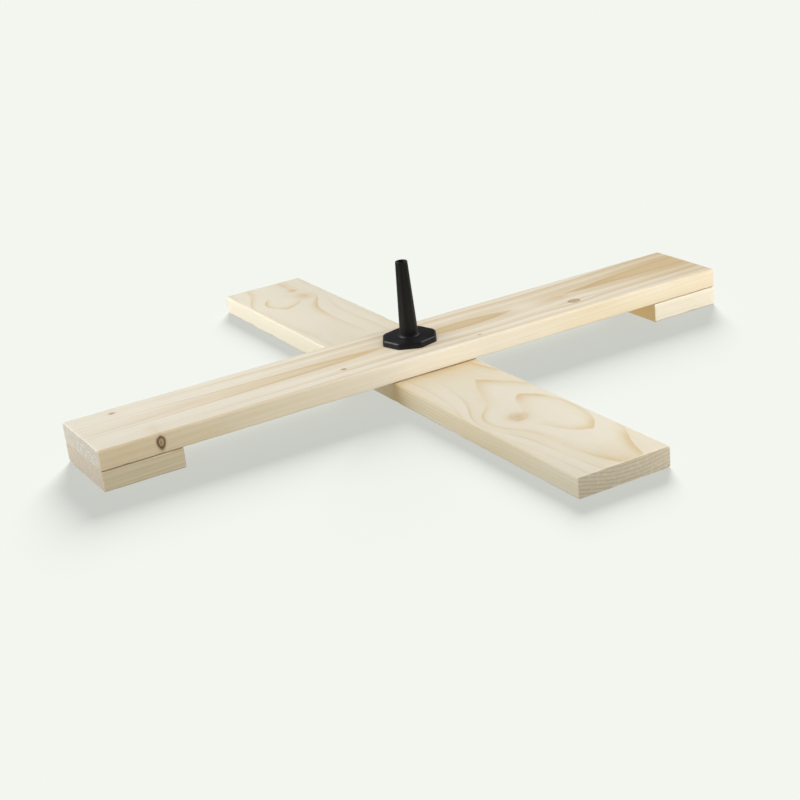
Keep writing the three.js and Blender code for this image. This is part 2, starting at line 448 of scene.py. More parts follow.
def pith_distance(g, c, h):
    """How far a point is from the pith, with everything that makes rings stray from circles."""
    pith_c, pith_h = g.wood.pith
    for a, reach, shift in g.wood.sways:
        pith_c = g.add(pith_c, g.times(g.bell(g.from_place(a, reach, g.a)), shift))
    from_c = g.add(c, g.times(pith_c, -1.0))
    from_h = g.add(h, -pith_h)
    square_c = g.times(from_c, from_c)
    radius = g.math("SQRT", g.add(square_c, g.times(from_h, from_h)))
    fold = g.times(g.math("SQRT", g.add(square_c, FOLD_ROUND**2)), g.wood.ridge)
    slow = g.times(g.swirl(170, 45, detail=1.0), g.wood.wander[0])
    quick = g.times(g.swirl(45, 9), g.wood.wander[1])
    pushed = g.times(g.places(g.wood.swells), -1.0)
    return g.add(radius, fold, slow, quick, pushed)


def count_years(g, radius):
    """Which ring a point is in, and how far out in it. Years differ in width."""
    years = g.add(g.times(radius, 1 / g.wood.ring), -g.wood.phase)
    return g.add(years, g.times(g.years_noise(years, 0.43, 9.1, detail=1.0), 2 * g.wood.uneven))


def late_line(g, years):
    """Late wood darkens slowly, and ends sharply where the next spring starts."""
    part = g.math("FRACT", years)
    rise = g.step(part, g.wood.line[0], 0.95)
    dark = g.add(g.times(rise, 0.35), g.times(g.math("POWER", rise, 4.0), 0.65))
    return g.times(dark, g.step(part, 1.0, 0.96))


def late_strength(g, years):
    """How strongly late wood shows: it differs from year to year, and along each ring."""
    weight = g.step(g.years_noise(g.math("FLOOR", years), 0.77, 5.3, detail=0.0), -0.2, 0.2, 0.4, 1.0)
    fading = g.step(g.swirl(90, 24, detail=1.0), -0.2, 0.2, 0.2, 1.0)
    return g.between(g.add(g.times(weight, fading), g.places(g.wood.accents)), 0.0, 1.4)


def warmth(g, radius, years, calm):
    """How tan the early wood is, in patches, bands, stripes of a few years, and clouds."""
    warm = g.places(g.wood.patches)
    for limit, softness, strength in g.wood.bands:
        inside = g.step(radius, limit + softness, limit - softness)
        rim = g.bell(g.from_place(limit - softness, softness, radius))
        warm = g.add(warm, g.times(inside, strength), g.times(rim, 0.35 * strength))
    stripe = g.times(g.years_noise(years, 0.4, 2.7, detail=3.0), calm)
    return g.add(warm, g.times(stripe, g.wood.stripes), g.times(g.swirl(140, 26), 0.5))


def sawn_colour(g, line):
    """A sawn end: the rings show faintly between open pores and torn fibres, and painted warm reflected
    light turns some places orange.
    """
    colour = g.mix(g.times(line, 0.55), g.wood.sawn, SAWN_LATE_WOOD)
    pores = g.swirl(4.0, 0.33, detail=3.0, roughness=0.7)
    colour = g.mix(1.0, colour, g.step(pores, -0.2, 0.25, 0.8, 1.04), "MULTIPLY")
    torn = g.step(g.swirl(7.0, 4.2, detail=2.5), 0.0, 0.16)
    colour = g.mix(g.times(torn, g.wood.torn), colour, TORN_FIBRES)
    # Painted warm reflected light, where a board lists it.
    return g.mix(g.places(g.wood.warm_bounce), colour, WARM_BOUNCE_TINT)


def wood_material(name, wood):
    """Planed softwood, with sawn ends and with painted shade where boards meet."""
    g = WoodGraph(name, wood)
    c, h, heart, bark, knot_stain = knot_masks(g)
    radius = pith_distance(g, c, h)
    years = count_years(g, radius)
    line = late_line(g, years)
    flank = g.step(g.math("ABSOLUTE", g.c), wood.width / 2 - 3.0, wood.width / 2)
    calm = g.add(1.0, g.times(flank, -wood.calm))
    late = g.times(line, late_strength(g, years), calm)
    colour = g.mix(warmth(g, radius, years, calm), wood.early, wood.warm)
    colour = g.mix(g.times(late, wood.line[1]), colour, wood.late)

    # Fibres and resin flecks are long and thin, and the same on every long face.
    fibre = g.swirl(30, 0.55, detail=3.0, roughness=0.6)
    pale = g.add(1.0, g.times(fibre, 0.12), g.times(g.swirl(60, 14), 0.05))
    colour = g.mix(1.0, colour, g.vector(pale, pale, g.times(pale, pale)), "MULTIPLY")
    fleck = g.step(g.swirl(5, 0.4, detail=1.0), 0.19, 0.3)
    # The tan marks hold stains, and also painted warm shade beside the crossing.
    for share, tint in [
        (g.times(fleck, 0.18), RESIN_FLECK),
        (g.places(wood.tan_marks), STAIN_AND_SHADE),
        (g.times(knot_stain, 0.4), KNOT_STAIN),
        (g.times(heart, 0.9), KNOT_HEART),
        (g.times(bark, 0.9), KNOT_BARK),
    ]:
        colour = g.mix(share, colour, tint)

    # Sawn ends face along the fibres.
    normal = g.node("ShaderNodeNewGeometry").outputs["True Normal"]
    facing = g.vector_math("DOT_PRODUCT", normal, tuple(wood.axis), "Value")
    end = g.step(g.math("ABSOLUTE", facing), 0.75, 0.9)
    colour = g.mix(end, colour, sawn_colour(g, line))

    # Painted shade: where an ambient-occlusion mask finds other wood close by, as where boards meet, the
    # colour is darkened towards brown.
    openness = g.node("ShaderNodeAmbientOcclusion", {"Distance": JOINT_SHADE_REACH}, samples=4).outputs["AO"]
    shade_patchiness = g.step(g.swirl(40, 40), -0.15, 0.15, 0.3, 0.7)
    colour = g.mix(g.times(g.step(openness, 0.6, 0.25), shade_patchiness), colour, JOINT_SHADE)

    roughness = g.add(0.6, g.times(fibre, 0.12), g.times(late, -0.08), g.times(end, 0.2))
    saw_marks = g.times(g.swirl(2.0, 0.3), end)
    relief = g.add(g.times(late, 0.5), g.times(fibre, 0.5), g.times(fleck, -0.8), g.times(saw_marks, 1.4))
    g.surface(colour, roughness, g.bump(relief, GRAIN_RELIEF, 0.8), specular=0.25)
    return g.owner


# -------------------- boards as meshes

# These sizes are in millimetres.
EDGE_RADIUS = 1.5  # the eased long edges of a planed board
END_BREAK = 1.2  # how far handling rounds the edges of a sawn end
PITCH_ALONG, PITCH_ACROSS = 3.0, 0.8  # how far apart the points of a board's grid are
WEAR_REACH = 1.6  # how far from a long edge wear and dents reach


def noise_at(*coordinates):
    """Smooth noise from -1 to 1, at points given by three arrays or numbers."""
    points = np.stack(np.broadcast_arrays(*coordinates), -1)
    return np.array([noise.noise(Vector(point)) for point in points])


def section_steps(size):
    """Places across a side of the board, closer together where its long edges are eased."""
    flat = size - 2 * EDGE_RADIUS
    count = max(2, round(flat / PITCH_ACROSS))
    middle = [EDGE_RADIUS + flat * i / count for i in range(count + 1)]
    low = [EDGE_RADIUS - EDGE_RADIUS * math.tan(math.radians(d)) for d in (45, 36, 27, 18, 9)]
    high = [size - x for x in low][::-1]
    return np.array(low + middle + high)


def board_grid(wood):
    """The a, c and h of a closed grid on all six sides of a board, and the faces between them."""
    first = [END_BREAK * (1 - math.sin(math.radians(t))) for t in (90, 67.5, 45, 22.5, 0)]
    inner = wood.length - 2 * END_BREAK
    count = round(inner / PITCH_ALONG)
    middle = [END_BREAK + inner * i / count for i in range(1, count)]
    last = [wood.length - x for x in first[::-1]]
    along = np.array(first + middle + last) - wood.length / 2
    across = section_steps(wood.width) - wood.width / 2
    up = section_steps(wood.thickness)

    shell = np.ones((len(along), len(across), len(up)), dtype=bool)
    shell[1:-1, 1:-1, 1:-1] = False
    index = np.zeros(shell.shape, dtype=np.int64)
    index[shell] = np.arange(shell.sum())

    def quads(grid, flip):
        corners = [grid[:-1, :-1], grid[1:, :-1], grid[1:, 1:], grid[:-1, 1:]]
        stacked = np.stack(corners[::-1] if flip else corners, -1)
        return stacked.reshape(-1, 4).tolist()

    faces = quads(index[0], True) + quads(index[-1], False)
    faces += quads(index[:, 0], False) + quads(index[:, -1], True)
    faces += quads(index[:, :, 0], True) + quads(index[:, :, -1], False)
    a_step, c_step, h_step = np.nonzero(shell)
    return along[a_step], across[c_step], up[h_step], faces


def ease_edges(wood, c, h):
    """Rounds the long edges: squares about the middle of each edge's rounding become circles."""
    core_c = np.clip(c, EDGE_RADIUS - wood.width / 2, wood.width / 2 - EDGE_RADIUS)
    core_h = np.clip(h, EDGE_RADIUS, wood.thickness - EDGE_RADIUS)
    off_c, off_h = c - core_c, h - core_h
    square = np.maximum(np.abs(off_c), np.abs(off_h))
    squeeze = square / np.maximum(np.hypot(off_c, off_h), 1e-9)
    return core_c + off_c * squeeze, core_h + off_h * squeeze


def wear_edges(wood, seed, a, c, h):
    """Wears the long edges back unevenly, and dents them."""
    from_side = wood.width / 2 - np.abs(c)
    from_face = np.minimum(h, wood.thickness - h)
    near_edge = np.exp(-((from_side / WEAR_REACH) ** 2)) * np.exp(-((from_face / WEAR_REACH) ** 2))
    edge = 2 * np.sign(c) + np.sign(h - wood.thickness / 2)  # -3, -1, 1 or 3
    wear = 0.22 + 0.22 * noise_at(a / 34, edge * 9.3, seed)
    rng = np.random.default_rng(seed)
    for _ in range(int(wood.length / 22)):
        at = rng.uniform(-wood.length / 2, wood.length / 2)
        dented = rng.choice([-3, -1, 1, 3])
        reach, depth = rng.uniform(1.6, 5.0), rng.uniform(0.15, 0.5)
        wear += (edge == dented) * depth * np.exp(-(((a - at) / reach) ** 2))
    pull = near_edge * wear
    return c - np.sign(c) * pull, h - np.sign(h - wood.thickness / 2) * pull


def saw_ends(wood, seed, at_end, a, c, h):
    """Rounds the edges of the sawn ends unevenly, and leaves the saw's shallow marks on them."""
    from_end = np.clip((wood.length / 2 - np.abs(a)) / END_BREAK, 0, 1)
    rounding = END_BREAK * (1 - np.sqrt(1 - (1 - from_end) ** 2))
    rounding *= 0.75 + 0.5 * noise_at(c / 9, h / 9, seed + np.sign(a))
    c = c * (1 - 2 * rounding / wood.width)
    middle = wood.thickness / 2
    h = middle + (h - middle) * (1 - rounding / middle)
    marks = 0.12 + 0.12 * noise_at(c / 14, h * 1.4, seed + 3.5)
    return a - np.sign(a) * marks * at_end, c, h


def plane_faces(wood, seed, at_end, a, c, h):
    """Late wood stands a little proud of early wood on planed faces, and the board isn't quite flat."""
    wave = noise_at(a / 90, c / 26, seed + h / 40)
    low = 0.05 + 0.05 * wave + ring_relief(wood, a, c, h)
    middle = wood.thickness / 2
    on_wide = (np.abs(h - middle) > middle - 0.4) & ~at_end
    on_narrow = (np.abs(c) > wood.width / 2 - 0.4) & ~at_end & ~on_wide
    return c - np.sign(c) * low * on_narrow, h - np.sign(h - middle) * low * on_wide


def ring_relief(wood, a, c, h):
    """How far planed early wood sinks below late wood, in millimetres."""
    pith_c, pith_h = wood.pith
    for at, reach, shift in wood.sways:
        pith_c = pith_c + shift * np.exp(-(((a - at) / reach) ** 2))
    radius = np.hypot(c - pith_c, h - pith_h) + wood.ridge * np.hypot(c - pith_c, FOLD_ROUND)
    for at_a, at_c, reach_a, reach_c, push in wood.swells:
        radius = radius - push * np.exp(-(((a - at_a) / reach_a) ** 2) - ((c - at_c) / reach_c) ** 2)
    resolved = min(1.0, wood.ring / 4.0)  # fine rings are too close together for the grid
    sunk = 0.025 * resolved**2 * (1 - np.cos(2 * np.pi * (radius / wood.ring - wood.phase)))
    for knot in wood.knots:
        if not knot.narrow:
            away = np.hypot((a - knot.a) / (knot.size * knot.stretch), (c - knot.x) / knot.size)
            sunk = sunk - 0.05 * knot.heart * np.exp(-(away**2))
    return np.maximum(sunk, 0.0)


def board_mesh(name, wood):
    """A planed board with eased and worn long edges, sawn ends, and late wood that can be felt."""
    seed = 10 * wood.seed + 1
    a, c, h, faces = board_grid(wood)
    at_end = np.abs(np.abs(a) - wood.length / 2) < 1e-6
    c, h = ease_edges(wood, c, h)
    c, h = wear_edges(wood, seed, a, c, h)
    a, c, h = saw_ends(wood, seed, at_end, a, c, h)
    c, h = plane_faces(wood, seed, at_end, a, c, h)
    turn = np.array([wood.axis, wood.across, (0, 0, 1)])
    points = np.array(wood.origin) + MM * np.stack([a, c, h], -1) @ turn
    return solid(name, points, faces)


# -------------------- fasteners


def threaded(name, profile, sides, place, first, last, pitch, depth, steps):
    """A closed screw shaft from (radius, height) pairs that start and end on the axis.

    A helix stands out of it between two heights. Each turn of the helix has so many steps.
    """
    levels = []
    for (r0, z0), (r1, z1) in zip(profile[1:-2], profile[2:-1]):
        parts = max(1, round((z1 - z0) / (pitch / steps))) if z1 > first else 1
        levels += [(r0 + (r1 - r0) * i / parts, z0 + (z1 - z0) * i / parts) for i in range(parts)]
    levels.append(profile[-2])
    rings = []
    for radius, height in levels:
        fade = min(1.0, max(0.0, min(height - first, last - height) / pitch))
        radii = []
        for k in range(sides):
            phase = (height / pitch - k / sides) % 1.0
            ridge = max(0.0, 1 - abs(phase - 0.5) / 0.28)
            radii.append(radius + depth * ridge * fade)
        rings.append(ring(around(sides), radii, height))
    return stack(name, profile[0][1], rings, profile[-1][1], place)


def recess_blade(place, turn):
    """One wing of a screw's cross recess: it narrows towards its bottom."""
    wide, deep, thick, narrowing = 2.25, 2.0, 0.55, 0.6
    outline = [(-wide, -0.5, thick), (wide, -0.5, thick)]
    outline += [(x, deep, thick * narrowing) for x in (wide * 0.62, -wide * 0.62)]
    spin = Matrix.Rotation(turn, 3, "Z")
    sides = [[spin @ Vector((x, side * y, z)) for x, z, y in outline] for side in (-1, 1)]
    return prism("recess_blade", *sides, place)


def wood_screw(node):
    """A countersunk screw that points up, with a cross recess in the face of its head."""
    foot, length = foot_of(node)
    head = [(0, 0.12), (2.2, 0.05), (3.6, 0.0), (3.85, 0.08), (3.98, 0.3), (3.9, 0.5), (1.75, 2.6)]
    shank = [(1.6, 3.4), (1.6, 12.5), (1.35, 13.0), (1.35, length - 4.5)]
    tip = [(0.9, length - 2.2), (0.12, length - 0.2), (0, length)]
    made = threaded(
        node + "_turned", head + shank + tip, 24, foot,
        first=13.0, last=length - 1.0, pitch=2.0, depth=0.62, steps=8,
    )
    turn = math.radians((foot.x + 2 * foot.y) / MM * 7.3 % 90)  # each screw stops at its own angle
    combine(made, [recess_blade(foot, turn + quarter * math.pi / 2) for quarter in range(2)], "DIFFERENCE")
    smooth(made, 35)
    return made


def hex_head(name, foot, height):
    """A hexagon head with its corners rounded off at both ends."""
    across_flats, turn, sides = 13.0, math.radians(12), 96
    corner = across_flats / math.sqrt(3)
    profile = [
        (4.6, 0.25), (5.0, 0.0), (6.1, 0.0), (6.5, 0.12), (corner + 0.2, 0.95),
        (corner + 0.2, height - 0.45), (corner - 0.2, height - 0.12), (6.2, height),
    ]
    limits = []
    for angle in around(sides):
        from_flat = (angle - turn + math.pi / 6) % (math.pi / 3) - math.pi / 6
        limits.append(min(across_flats / 2 / math.cos(from_flat), corner - 0.12))
    rings = [ring(around(sides), [min(radius, limit) for limit in limits], z) for radius, z in profile]
    return stack(name, profile[0][1], rings, height, foot)


def hex_screw(node):
    """The hexagon-head wood screw that holds the spigot. Its head points down."""
    foot, height = foot_of(node)
    head_height = 5.5
    length = height - head_height
    shank = [(0, 0.0), (4.0, 0.0), (4.0, 36.5), (2.9, 38.5)]
    tip = [(2.8, length - 9), (1.4, length - 3), (0.15, length - 0.2), (0, length)]
    made = threaded(
        node + "_turned", shank + tip, 32, foot + Vector((0, 0, head_height * MM)),
        first=38.5, last=length - 2.0, pitch=3.6, depth=1.15, steps=10,
    )
    smooth(made, 40)
    head = hex_head(node + "_head", foot, head_height)
    smooth(head, 20)
    combine(made, [head], "UNION")
    return made


def washer_piece(node):
    foot, thick = foot_of(node)
    low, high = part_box(node)
    outer = (high.x - low.x) / 2 / MM
    bore = 4.35
    profile = [
        (bore, 0.25), (bore + 0.2, 0.0), (outer - 0.55, 0.0), (outer - 0.12, 0.22), (outer, 0.6),
        (outer, thick - 0.35), (outer - 0.15, thick), (bore + 0.35, thick), (bore, thick - 0.3),
    ]
    made = band(node + "_pressed", circles(profile, 72), foot)
    smooth(made, 30)
    return made


# -------------------- spigot

EIGHTH = math.pi / 4  # of a turn
FLANGE_TURN = math.radians(-7)
SEAM_BEARING = math.radians(38)

# These sizes are in millimetres.
FLANGE_CORNER = (SPIGOT_HIGH.x - SPIGOT_LOW.x) / 2 / math.cos(FLANGE_TURN) / MM
FLANGE_HEIGHT = 6.0
SPIGOT_HEIGHT = (SPIGOT_HIGH.z - SPIGOT_LOW.z) / MM
SHANK_BASE, SHANK_TOP = 9.2, 6.1  # the shank's radius above its root fillet, and at its rim
ROOT_FILLET, RIM_ROUND = 2.8, 0.9
ROOT_STRETCH = 1.8  # the root fillet is this much taller than it is wide
CORNER_BLUNT = 0.55
BORE = 4.35  # its radius in the foot
SEAM_HEIGHT, SINK_DEPTH = 0.09, 0.12


def arc(centre_r, centre_z, radius, start, end, steps):
    """Points (radius, height) on an arc between two angles in degrees."""
    angles = [math.radians(start + (end - start) * i / steps) for i in range(steps + 1)]
    return [(centre_r + radius * math.cos(t), centre_z + radius * math.sin(t)) for t in angles]


def spigot_section():
    """The spigot's section as (radius, height, share of octagon), once round from the bore's foot."""
    corner, top, total = FLANGE_CORNER, FLANGE_HEIGHT, SPIGOT_HEIGHT
    under = [(BORE, 0.0, 0), (14.0, 0.0, 0), (corner - 2.2, 0.0, 1), (corner - 0.3, 0.0, 1)]
    chamfer = [(0.42, 1.75), (0.55, 1.45), (0.75, 1.2), (1.75, 0.28), (2.05, 0.08), (2.5, 0.0)]
    edge = [(corner, 0.3, 1)] + [(corner - inward, top - down, 1) for inward, down in chamfer]
    plate = [(20.0, top, 0.6), (15.5, top, 0.15), (SHANK_BASE + ROOT_FILLET + 0.8, top, 0)]
    root = arc(SHANK_BASE + ROOT_FILLET, ROOT_FILLET, ROOT_FILLET, 270, 184, 12)
    root = [(r, top + z * ROOT_STRETCH) for r, z in root]
    foot = top + ROOT_FILLET * ROOT_STRETCH
    slope = (SHANK_BASE - SHANK_TOP) / (total - foot)
    heights = [12.5, 16, 21, 28, 36, 44, 52, 60, 68, 74, 78, total - RIM_ROUND - 1.2]
    shank = [(SHANK_BASE - slope * (z - foot), z) for z in heights]
    mouth = arc(SHANK_TOP - RIM_ROUND, total - RIM_ROUND, RIM_ROUND, 4, 90, 6)
    mouth += [(4.55, total), (4.15, total - 0.25), (3.9, total - 0.9), (3.82, total - 8)]
    bore = [(3.7, 68.0), (BORE, 59.0), (BORE, 20.0)]
    return under + edge + plate + [(r, z, 0) for r, z in root + shank + mouth + bore]


def moulded(point):
    """Moulding marks: a faint line where the mould's halves met, and a sink where the plate cooled."""
    x, y, z = point
    radius = math.hypot(x, y)
    grown, sink = radius, 0.0
    if 14.0 < z < SPIGOT_HEIGHT - 1.5 and radius > 5.0:
        from_seam = math.sin(math.atan2(y, x) - SEAM_BEARING) * radius
        grown += SEAM_HEIGHT * math.exp(-((from_seam / 0.45) ** 2))
    if FLANGE_HEIGHT - 0.05 < z < FLANGE_HEIGHT + 0.3 and 12.0 < radius < 25.0:
        sink = SINK_DEPTH * math.exp(-(((radius - 17.5) / 4.0) ** 2))
    return Vector((x * grown / radius, y * grown / radius, z - sink))


def octagon_radius(angle, corner, share):
    """How far an outline is from the axis: a circle at share 0, a blunted octagon at share 1."""
    from_flat = (angle - FLANGE_TURN) % EIGHTH - EIGHTH / 2
    flat = corner * math.cos(EIGHTH / 2) / math.cos(from_flat)
    if share == 1:
        flat = min(flat, corner - CORNER_BLUNT)
    return corner + (flat - corner) * share


def flange_pocket(bearing, place):
    """One of the eight hollows between the ribs in the underside of the flange."""
    inner, outer, half_rib, deep, draft = 10.5, FLANGE_CORNER - 2.2, 1.0, 3.5, 0.94
    middle = outer * math.cos(EIGHTH / 2)
    corners = ((-22.5, inner), (-22.5, middle), (0.0, outer), (22.5, middle), (22.5, inner), (0.0, inner))
    outline = []
    for degrees, distance in corners:
        x = distance * math.cos(math.radians(degrees))
        y = distance * math.sin(math.radians(degrees))
        outline.append((x, y - math.copysign(half_rib, degrees) if degrees else y))
    centre = sum(x for x, y in outline) / len(outline)
    spin = Matrix.Rotation(bearing, 3, "Z")
    mouth = [spin @ Vector((x, y, -1.0)) for x, y in outline]
    roof = [spin @ Vector((centre + (x - centre) * draft, y * draft, deep)) for x, y in outline]
    return prism("flange_pocket", mouth, roof, place)


def spigot_piece(node):
    # Angles bunch up at the flange's corners, so that its flats shade flat.
    offsets = [0.0, 0.9, 1.9, 4.0, 9.0, 15.0, 22.5, 30.0, 36.0, 41.0, 43.1, 44.1]
    bearings = [FLANGE_TURN + EIGHTH * side for side in range(8)]
    angles = [bearing + math.radians(offset) for bearing in bearings for offset in offsets]
    rings = []
    for radius, height, share in spigot_section():
        radii = [octagon_radius(angle, radius, share) for angle in angles]
        rings.append([moulded(point) for point in ring(angles, radii, height)])
    place = Vector((0, 0, SPIGOT_LOW.z))
    made = band(node + "_moulded", rings, place)
    combine(made, [flange_pocket(bearing, place) for bearing in bearings], "DIFFERENCE")
    smooth(made, 38)
    return made


# -------------------- plastic and metal


def plastic_material():
    g = Graph(bpy.data.materials.new("black_plastic"))
    mm = g.place_in_mm()
    grain = g.noise(mm, scale=2.2, detail=3.0, roughness=0.6)
    cloud = g.noise(mm, scale=0.07, detail=3.0)
    flow = g.noise(g.vector_math("MULTIPLY", mm, (1.1, 1.1, 0.06)))
    pointiness = g.node("ShaderNodeNewGeometry").outputs["Pointiness"]
    worn = g.times(g.step(pointiness, 0.53, 0.62), g.step(grain, 0.35, 0.65))
    dust = g.step(g.noise(mm, scale=0.9), 0.7, 0.82)
    colour = g.mix(g.step(cloud, 0.3, 0.7), srgb(19, 19, 19), srgb(27, 27, 28))
    colour = g.mix(g.times(worn, 0.5), colour, srgb(78, 78, 80))
    colour = g.mix(g.times(dust, 0.12), colour, srgb(150, 145, 135))
    roughness = g.add(0.36, g.times(flow, 0.14), g.times(cloud, 0.08), g.times(worn, 0.15))
    normal = g.bump(flow, 0.06 * MM, 0.5, g.bump(grain, 0.04 * MM, 0.7))
    g.surface(colour, roughness, normal)
    return g.owner


def steel_material():
    g = Graph(bpy.data.materials.new("zinc_steel"))
    mm = g.place_in_mm()
    cloud = g.noise(mm, scale=0.5, detail=4.0, roughness=0.65)
    grain = g.noise(mm, scale=5.0)
    worn = g.step(g.node("ShaderNodeNewGeometry").outputs["Pointiness"], 0.52, 0.6)
    colour = g.mix(g.step(cloud, 0.3, 0.7), srgb(168, 172, 176), srgb(204, 206, 204))
    colour = g.mix(g.times(worn, 0.6), colour, srgb(232, 232, 228))
    colour = g.mix(g.times(g.step(cloud, 0.62, 0.72), 0.25), colour, srgb(190, 180, 148))
    roughness = g.add(0.24, g.times(cloud, 0.22), g.times(grain, 0.06))
    g.surface(colour, roughness, g.bump(grain, 0.03 * MM, 0.6), metallic=1.0)
    return g.owner


# -------------------- the stand

UPPER = Wood(
    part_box("upper_arm"), "X", pith=(2.0, 62.0), ring=1.9, seed=1,
    early=srgb(242, 234, 216), late=srgb(192, 164, 118), warm=srgb(220, 196, 153), sawn=srgb(215, 210, 198),
    line=(0.25, 0.36), wander=(1.6, 0.4), stripes=1.35, calm=0.65, torn=0.35,
    sways=((350, 130, 8),),
    swells=(
        (-350, 3, 230, 400, 3.4), (68, 3, 50, 400, 1.2),
        (350, 3, 120, 400, 2.0),
    ),
    bands=((41.5, 0.3, 0.6),),
    patches=(
        (350, 10, 300, 50, 0.6), (350, 0, 80, 60, 0.35),
        (0, 0, 150, 60, 0.3), (-350, 0, 120, 60, -0.5),
        (-350, -48, 190, 3, 0.95), (0, -48, 260, 3, 0.15),
        (-10, -48, 70, 3, -0.3), (215, -48, 70, 3, 0.25),
        (350, -48, 190, 3, 0.2), (138, 0, 22, 16, -0.35),
        (198, -14, 24, 12, -0.25),
    ),
    accents=((300, 0, 170, 60, 1.0),),
    tan_marks=((183, -1, 8, 6, 0.3), (172, -1, 14, 4, 0.25)),
    knots=(
        Knot(185.5, -22.9, 5.0, 1.35, 0.6, 0.45, push=0.85, spread=4.5),
        Knot(-305.9, 33.9, 2.3, 1.3, 0.85, 0.4, soft=0.6),
        Knot(-88.6, -24.7, 2.3, 1.1, 0.85, 0.4, soft=0.6),
        Knot(59.0, -38.4, 1.5, 1.6, 0.7, 0.0, soft=0.6),
        Knot(-290.5, 10.8, 6.4, 0.60, 0.6, 1.0, push=0.15, narrow=True),
    ),
)
LOWER = Wood(
    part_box("lower_arm"), "Y", pith=(-12.0, 291.0), ring=3.5, seed=2,
    early=srgb(232, 224, 204), late=srgb(216, 188, 134), warm=srgb(224, 204, 162), sawn=srgb(212, 199, 174),
    phase=0.16, line=(0.45, 0.5), uneven=0.05, wander=(0.6, 0.35), ridge=0.046, calm=0.2,
    sways=((-215, 95, -17), (215, 125, 31), (60, 75, 19)),
    swells=(
        (-216, -20, 90, 400, 7.0), (-350, -15, 40, 60, 0.8),
        (-350, 8, 30, 14, 0.7), (-303, 12, 38, 18, 2.0),
        (-198, 36, 36, 24, 5.0), (-228, 0, 35, 22, 1.1),
        (-216, -48, 45, 16, -1.2), (278, 5, 26, 40, 3.6),
        (262, -25, 55, 30, 1.5),
    ),
    patches=((300, 10, 140, 90, -0.35), (-200, 48, 120, 4, 0.4)),
    accents=(
        (-272, -25, 16, 14, 0.9), (-163, -29, 16, 14, 1.1),
        (-97, -19, 22, 12, 1.5), (-335, -30, 40, 10, 1.0),
        (-330, 4, 45, 10, 0.9), (-75, -38, 30, 8, 0.8),
        (-95, 48, 55, 4, 1.0), (-180, 36, 25, 12, 0.8),
        (-178, 0, 30, 11, -0.8), (-218, 2, 14, 12, -0.8),
        (252, 10, 14, 20, 1.2), (290, 28, 20, 8, 1.0),
        (304, 8, 10, 14, -0.6), (120, -8, 50, 12, -0.5),
        (276, -14, 20, 8, -0.8), (215, -12, 30, 12, 0.9),
        (250, -25, 20, 8, 0.9),
    ),
    # The first three are painted warm shade beside the crossing, on the top and on the left side; the rest
    # are stains.
    tan_marks=(
        (-50, 0, 9, 70, 0.4), (-60, 0, 24, 70, 0.25),
        (-35, 49, 45, 5, 0.35), (-205, 9, 10, 9, 0.5),
        (-212, 12, 3, 5, 0.3), (280, -19, 13, 9, 0.4),
        (308, -18, 6, 6, 0.45), (332, -19, 18, 4, 0.4),
    ),
    knots=(
        Knot(-204.5, 7.5, 9.0, 1.1, 0.14, 0.06, push=0.5, soft=0.7),
        Knot(279.0, -20.0, 10.0, 1.5, 0.1, 0.0, push=0.3, soft=0.9),
        Knot(308.0, -19.0, 5.0, 1.3, 0.17, 0.0, push=0.3, soft=0.9),
    ),
)
LEFT_BLOCK = Wood(
    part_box("left_foot_block"), "X", pith=(60.0, -50.0), ring=2.2, seed=3,
    early=srgb(220, 206, 175), late=srgb(190, 165, 124), warm=srgb(208, 184, 144), sawn=srgb(214, 202, 185),
    line=(0.3, 0.5),
)
RIGHT_BLOCK = Wood(
    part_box("right_foot_block"), "X", pith=(-20.0, 90.0), ring=2.6, seed=4,
    early=srgb(234, 224, 204), late=srgb(220, 198, 158), warm=srgb(226, 206, 168), sawn=srgb(228, 208, 172),
    # Painted warm reflected light on the block's shaded inner end.
    line=(0.3, 0.4), warm_bounce=((-40, 0, 4, 90, 0.9),),
)


def screw_holes(nodes):
    """What countersunk screws leave in the wood, each with a slightly crushed mouth."""
    profile = [(0, -1.2), (4.7, -1.2), (4.7, 0.0), (4.35, 0.35), (2.35, 2.7), (2.3, 36.0), (0, 36.5)]
    return [turned("hole", profile, 32, foot_of(node)[0]) for node in nodes]


def spigot_screw_hole():
    """The counterbore for the washer and the screw's head, and the hole for its shank."""
    bore = [(13.25, -1.0), (13.25, 0.0), (13.0, 0.3), (13.0, COUNTERBORE), (4.3, COUNTERBORE), (4.3, 42.0)]
    return turned("hole", [(0, -1.0), *bore, (0, 42.0)], 48, Vector((0, 0, 0)))


def add_piece(piece, node, material):
    piece.data.materials.append(material)
    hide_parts(node)
    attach(piece, "root")
    return piece


def add_board(node, wood, holes):
    board = board_mesh(node + "_planed", wood)
    combine(board, holes, "DIFFERENCE")
    smooth(board, 30)
    add_piece(board, node, wood_material(node + "_wood", wood))


add_board("lower_arm", LOWER, [*screw_holes(CROSSING_SCREWS), spigot_screw_hole()])
add_board("upper_arm", UPPER, [*screw_holes(WOOD_SCREWS), spigot_screw_hole()])
add_board("left_foot_block", LEFT_BLOCK, screw_holes(LEFT_SCREWS))
add_board("right_foot_block", RIGHT_BLOCK, screw_holes(RIGHT_SCREWS))

spigot = add_piece(spigot_piece("spigot"), "spigot", plastic_material())
steel = steel_material()
add_piece(hex_screw("spigot_screw"), "spigot_screw", steel)
add_piece(washer_piece("spigot_washer"), "spigot_washer", steel)
for node in WOOD_SCREWS:
    add_piece(wood_screw(node), node, steel)


# -------------------- floor and walls

# Most of the floor's light is its own, so that shadows on it stay pale. Glossy surfaces see it dim.
PALE = srgb(243, 246, 239)
FLOOR_REACH = 30.0
FLOOR_GLOW = 0.616
FLOOR_SHADE = 0.12
FLOOR_IN_GLOSS = 0.2
ROOM_GLOW = 0.2
WHITE = (1.0, 1.0, 1.0, 1.0)
ROOM_IN_GLOSS = (0.12, 0.12, 0.13, 1.0)


